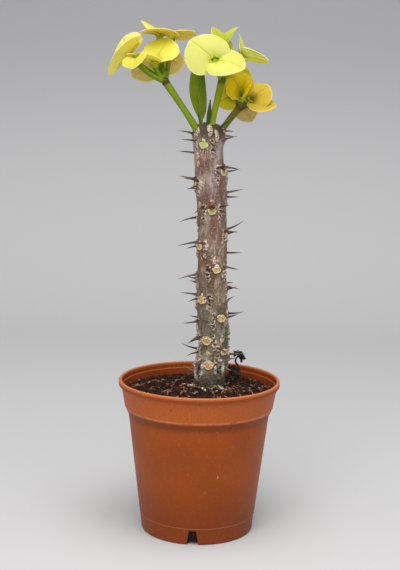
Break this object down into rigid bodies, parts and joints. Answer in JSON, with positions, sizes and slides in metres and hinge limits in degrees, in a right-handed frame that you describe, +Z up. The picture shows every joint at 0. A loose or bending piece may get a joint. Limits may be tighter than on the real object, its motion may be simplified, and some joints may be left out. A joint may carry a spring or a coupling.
{
  "type": "potted euphorbia",
  "caption": "Potted crown-of-thorns euphorbia: a thorny stem with a leaf and clusters of yellow bracts, in a round plastic nursery pot of peat.",
  "frame": {"origin": "centre of the pot's foot, on the surface that it stands on", "axes": "+Z up, -Y towards the front, +X to the viewer's right"},
  "size_m": [0.114, 0.105, 0.3289],
  "materials": {
    "terracotta_plastic": "satin",
    "peat": "matte",
    "bark": "matte",
    "leaf": "satin",
    "young_leaf": "satin",
    "stalk": "satin",
    "olive_stalk": "satin",
    "pale_bract": "satin",
    "young_bract": "satin",
    "gold_bract": "satin",
    "withered": "matte"
  },
  "bodies": {
    "root": {"pot": "terracotta_plastic", "soil": "peat", "stem": "bark", "leaf": "leaf", "young_leaf_1": "young_leaf", "young_leaf_2": "young_leaf", "stalk_left": "stalk", "stalk_middle": "stalk", "stalk_right": "olive_stalk", "withered_flower": "withered", "bloom_left_outer": "pale_bract", "bloom_left_near": "pale_bract", "bloom_left_inner": "pale_bract", "bloom_left_top": "pale_bract", "bloom_left_back": "pale_bract", "bloom_left_side": "pale_bract", "bloom_middle_open": "pale_bract", "bloom_middle_young_left": "young_bract", "bloom_middle_young_right": "young_bract", "bloom_right_near": "gold_bract", "bloom_right_outer": "gold_bract", "bloom_right_low": "gold_bract", "bloom_right_back": "gold_bract"}
  },
  "joints": []
}
